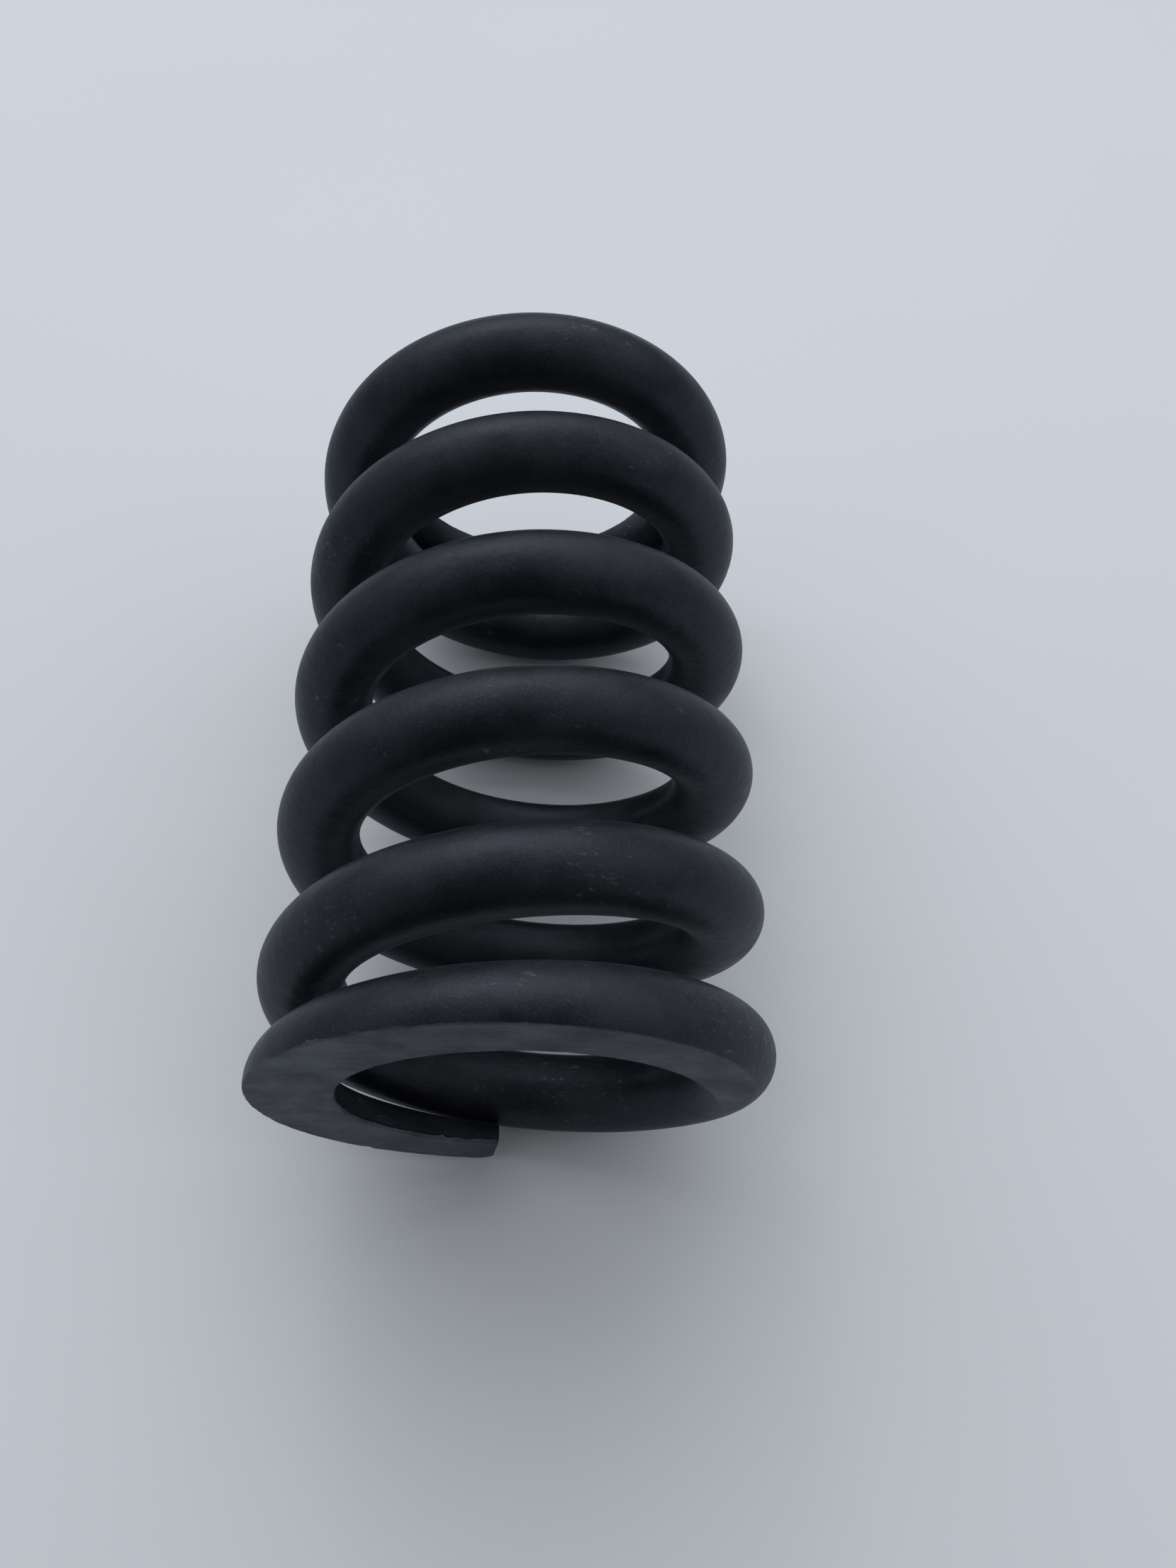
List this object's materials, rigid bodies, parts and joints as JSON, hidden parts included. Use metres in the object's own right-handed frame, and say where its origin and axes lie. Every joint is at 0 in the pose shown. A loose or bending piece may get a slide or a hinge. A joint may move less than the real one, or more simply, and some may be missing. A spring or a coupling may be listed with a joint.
{
  "type": "compression coil spring",
  "caption": "Right-hand compression spring of thick round wire in a satin black finish, with closed end coils ground flat as seats and a clear bore for a guide.",
  "frame": {"origin": "centre of the lower ground face, on the coil's axis", "axes": "+Z along the coil's axis, towards the upper end; the lower cut end of the wire lies 99 degrees round from +X"},
  "size_m": [0.036, 0.036, 0.0593],
  "materials": {
    "coated_wire": "satin"
  },
  "bodies": {
    "lower_end_coil": {"lower_end_coil_1": "coated_wire", "lower_end_coil_2": "coated_wire", "lower_end_coil_3": "coated_wire", "lower_end_coil_4": "coated_wire", "lower_end_coil_5": "coated_wire", "lower_end_coil_6": "coated_wire", "lower_end_coil_7": "coated_wire", "lower_end_coil_8": "coated_wire"},
    "quarter_turn_01": {"active_coil_1_1": "coated_wire", "active_coil_1_2": "coated_wire"},
    "quarter_turn_02": {"active_coil_1_3": "coated_wire", "active_coil_1_4": "coated_wire"},
    "quarter_turn_03": {"active_coil_1_5": "coated_wire", "active_coil_1_6": "coated_wire"},
    "quarter_turn_04": {"active_coil_1_7": "coated_wire", "active_coil_1_8": "coated_wire"},
    "quarter_turn_05": {"active_coil_2_1": "coated_wire", "active_coil_2_2": "coated_wire"},
    "quarter_turn_06": {"active_coil_2_3": "coated_wire", "active_coil_2_4": "coated_wire"},
    "quarter_turn_07": {"active_coil_2_5": "coated_wire", "active_coil_2_6": "coated_wire"},
    "quarter_turn_08": {"active_coil_2_7": "coated_wire", "active_coil_2_8": "coated_wire"},
    "quarter_turn_09": {"active_coil_3_1": "coated_wire", "active_coil_3_2": "coated_wire"},
    "quarter_turn_10": {"active_coil_3_3": "coated_wire", "active_coil_3_4": "coated_wire"},
    "quarter_turn_11": {"active_coil_3_5": "coated_wire", "active_coil_3_6": "coated_wire"},
    "quarter_turn_12": {"active_coil_3_7": "coated_wire", "active_coil_3_8": "coated_wire"},
    "quarter_turn_13": {"active_coil_4_1": "coated_wire", "active_coil_4_2": "coated_wire"},
    "quarter_turn_14": {"active_coil_4_3": "coated_wire", "active_coil_4_4": "coated_wire"},
    "quarter_turn_15": {"active_coil_4_5": "coated_wire", "active_coil_4_6": "coated_wire"},
    "quarter_turn_16": {"active_coil_4_7": "coated_wire", "active_coil_4_8": "coated_wire"},
    "quarter_turn_17": {"active_coil_5_1": "coated_wire", "active_coil_5_2": "coated_wire"},
    "upper_end_coil": {"upper_end_coil_1": "coated_wire", "upper_end_coil_2": "coated_wire", "upper_end_coil_3": "coated_wire", "upper_end_coil_4": "coated_wire", "upper_end_coil_5": "coated_wire", "upper_end_coil_6": "coated_wire", "upper_end_coil_7": "coated_wire", "upper_end_coil_8": "coated_wire"}
  },
  "joints": [
    {"name": "wire_twist_01", "type": "hinge", "parent": "lower_end_coil", "child": "quarter_turn_01", "pos_m": [-0.00235, 0.01482, 0.00515], "axis": [0.9815, 0.1586, -0.1071], "range_deg": [0, 1.2], "stiffness_Nm_per_rad": 1},
    {"name": "wire_twist_02", "type": "hinge", "parent": "quarter_turn_01", "child": "quarter_turn_02", "pos_m": [-0.01482, -0.00235, 0.00794], "axis": [-0.1586, 0.9802, -0.1188], "range_deg": [0, 2.4], "stiffness_Nm_per_rad": 1},
    {"name": "wire_twist_03", "type": "hinge", "parent": "quarter_turn_02", "child": "quarter_turn_03", "pos_m": [0.00235, -0.01482, 0.01083], "axis": [-0.9802, -0.1592, -0.1181], "range_deg": [0, 3.6], "stiffness_Nm_per_rad": 1},
    {"name": "wire_twist_04", "type": "hinge", "parent": "quarter_turn_03", "child": "quarter_turn_04", "pos_m": [0.01482, 0.00235, 0.01372], "axis": [0.1596, -0.9802, -0.1173], "range_deg": [0, 4.8], "stiffness_Nm_per_rad": 1},
    {"name": "wire_twist_05", "type": "hinge", "parent": "quarter_turn_04", "child": "quarter_turn_05", "pos_m": [-0.00235, 0.01482, 0.01661], "axis": [0.9802, 0.1599, -0.1165], "range_deg": [0, 4.8], "stiffness_Nm_per_rad": 1},
    {"name": "wire_twist_06", "type": "hinge", "parent": "quarter_turn_05", "child": "quarter_turn_06", "pos_m": [-0.01482, -0.00235, 0.01951], "axis": [-0.16, 0.9803, -0.1156], "range_deg": [0, 4.8], "stiffness_Nm_per_rad": 1},
    {"name": "wire_twist_07", "type": "hinge", "parent": "quarter_turn_06", "child": "quarter_turn_07", "pos_m": [0.00235, -0.01482, 0.0224], "axis": [-0.9804, -0.16, -0.1147], "range_deg": [0, 4.8], "stiffness_Nm_per_rad": 1},
    {"name": "wire_twist_08", "type": "hinge", "parent": "quarter_turn_07", "child": "quarter_turn_08", "pos_m": [0.01482, 0.00235, 0.02529], "axis": [0.1597, -0.9806, -0.1138], "range_deg": [0, 4.8], "stiffness_Nm_per_rad": 1},
    {"name": "compress", "type": "hinge", "parent": "quarter_turn_08", "child": "quarter_turn_09", "pos_m": [-0.00235, 0.01482, 0.02818], "axis": [0.9807, 0.1593, -0.113], "range_deg": [0, 4.8], "stiffness_Nm_per_rad": 1},
    {"name": "wire_twist_10", "type": "hinge", "parent": "quarter_turn_09", "child": "quarter_turn_10", "pos_m": [-0.01482, -0.00235, 0.03107], "axis": [-0.1588, 0.9809, -0.1123], "range_deg": [0, 4.8], "stiffness_Nm_per_rad": 1},
    {"name": "wire_twist_11", "type": "hinge", "parent": "quarter_turn_10", "child": "quarter_turn_11", "pos_m": [0.00235, -0.01482, 0.03396], "axis": [-0.9811, -0.1581, -0.1118], "range_deg": [0, 4.8], "stiffness_Nm_per_rad": 1},
    {"name": "wire_twist_12", "type": "hinge", "parent": "quarter_turn_11", "child": "quarter_turn_12", "pos_m": [0.01482, 0.00235, 0.03685], "axis": [0.1574, -0.9812, -0.1113], "range_deg": [0, 4.8], "stiffness_Nm_per_rad": 1},
    {"name": "wire_twist_13", "type": "hinge", "parent": "quarter_turn_12", "child": "quarter_turn_13", "pos_m": [-0.00235, 0.01482, 0.03974], "axis": [0.9814, 0.1566, -0.111], "range_deg": [0, 4.8], "stiffness_Nm_per_rad": 1},
    {"name": "wire_twist_14", "type": "hinge", "parent": "quarter_turn_13", "child": "quarter_turn_14", "pos_m": [-0.01482, -0.00235, 0.04264], "axis": [-0.1557, 0.9816, -0.1109], "range_deg": [0, 4.8], "stiffness_Nm_per_rad": 1},
    {"name": "wire_twist_15", "type": "hinge", "parent": "quarter_turn_14", "child": "quarter_turn_15", "pos_m": [0.00235, -0.01482, 0.04553], "axis": [-0.9817, -0.1548, -0.1109], "range_deg": [0, 4.8], "stiffness_Nm_per_rad": 1},
    {"name": "wire_twist_16", "type": "hinge", "parent": "quarter_turn_15", "child": "quarter_turn_16", "pos_m": [0.01482, 0.00235, 0.04842], "axis": [0.1539, -0.9818, -0.1112], "range_deg": [0, 3.6], "stiffness_Nm_per_rad": 1},
    {"name": "wire_twist_17", "type": "hinge", "parent": "quarter_turn_16", "child": "quarter_turn_17", "pos_m": [-0.00235, 0.01482, 0.05131], "axis": [0.9819, 0.1531, -0.1115], "range_deg": [0, 2.4], "stiffness_Nm_per_rad": 1},
    {"name": "wire_twist_18", "type": "hinge", "parent": "quarter_turn_17", "child": "upper_end_coil", "pos_m": [-0.01482, -0.00235, 0.0541], "axis": [-0.1522, 0.9833, -0.0998], "range_deg": [0, 1.2], "stiffness_Nm_per_rad": 1}
  ],
  "couplings": [
    {"joint": "wire_twist_01", "follows": "compress", "ratio": 0.25},
    {"joint": "wire_twist_02", "follows": "compress", "ratio": 0.5},
    {"joint": "wire_twist_03", "follows": "compress", "ratio": 0.75},
    {"joint": "wire_twist_04", "follows": "compress", "ratio": 1},
    {"joint": "wire_twist_05", "follows": "compress", "ratio": 1},
    {"joint": "wire_twist_06", "follows": "compress", "ratio": 1},
    {"joint": "wire_twist_07", "follows": "compress", "ratio": 1},
    {"joint": "wire_twist_08", "follows": "compress", "ratio": 1},
    {"joint": "wire_twist_10", "follows": "compress", "ratio": 1},
    {"joint": "wire_twist_11", "follows": "compress", "ratio": 1},
    {"joint": "wire_twist_12", "follows": "compress", "ratio": 1},
    {"joint": "wire_twist_13", "follows": "compress", "ratio": 1},
    {"joint": "wire_twist_14", "follows": "compress", "ratio": 1},
    {"joint": "wire_twist_15", "follows": "compress", "ratio": 1},
    {"joint": "wire_twist_16", "follows": "compress", "ratio": 0.75},
    {"joint": "wire_twist_17", "follows": "compress", "ratio": 0.5},
    {"joint": "wire_twist_18", "follows": "compress", "ratio": 0.25}
  ]
}
